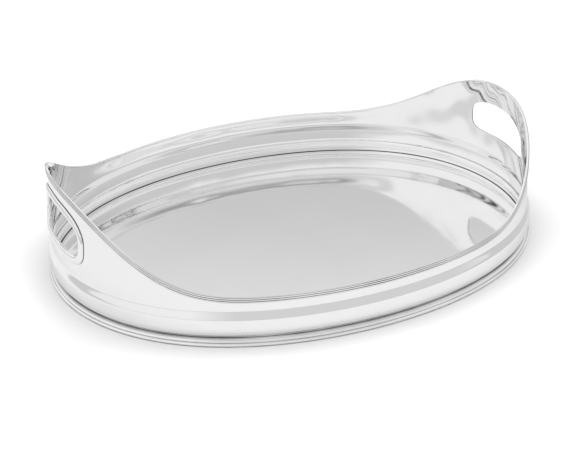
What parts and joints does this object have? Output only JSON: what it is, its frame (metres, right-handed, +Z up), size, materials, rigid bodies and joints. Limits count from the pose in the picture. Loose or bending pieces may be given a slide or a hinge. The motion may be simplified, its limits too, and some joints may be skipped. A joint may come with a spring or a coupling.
{
  "type": "serving tray",
  "caption": "Oval polished metal serving tray with a raised gallery wall that sweeps up at its ends into handles with oval hand holes, a reeded rim border and a moulded foot.",
  "frame": {"origin": "centre of the oval, on the plane that the foot stands on", "axes": "+X along the tray's length towards one handle, +Y across its width, +Z up out of the tray"},
  "size_m": [0.5, 0.392, 0.1183],
  "materials": {
    "floor_metal": "mirror-polished stainless steel with fine wear from use",
    "foot_metal": "mirror-polished stainless steel",
    "gallery_metal": "mirror-polished stainless steel with slight hand-planished waviness",
    "rim_metal": "mirror-polished stainless steel",
    "collar_metal": "mirror-polished stainless steel"
  },
  "bodies": {
    "root": {"floor_panel": "floor_metal", "foot_moulding": "foot_metal", "gallery_half_left": "gallery_metal", "gallery_half_right": "gallery_metal", "rim_border": "rim_metal", "hand_hole_collar_left": "collar_metal", "hand_hole_collar_right": "collar_metal"}
  },
  "joints": []
}
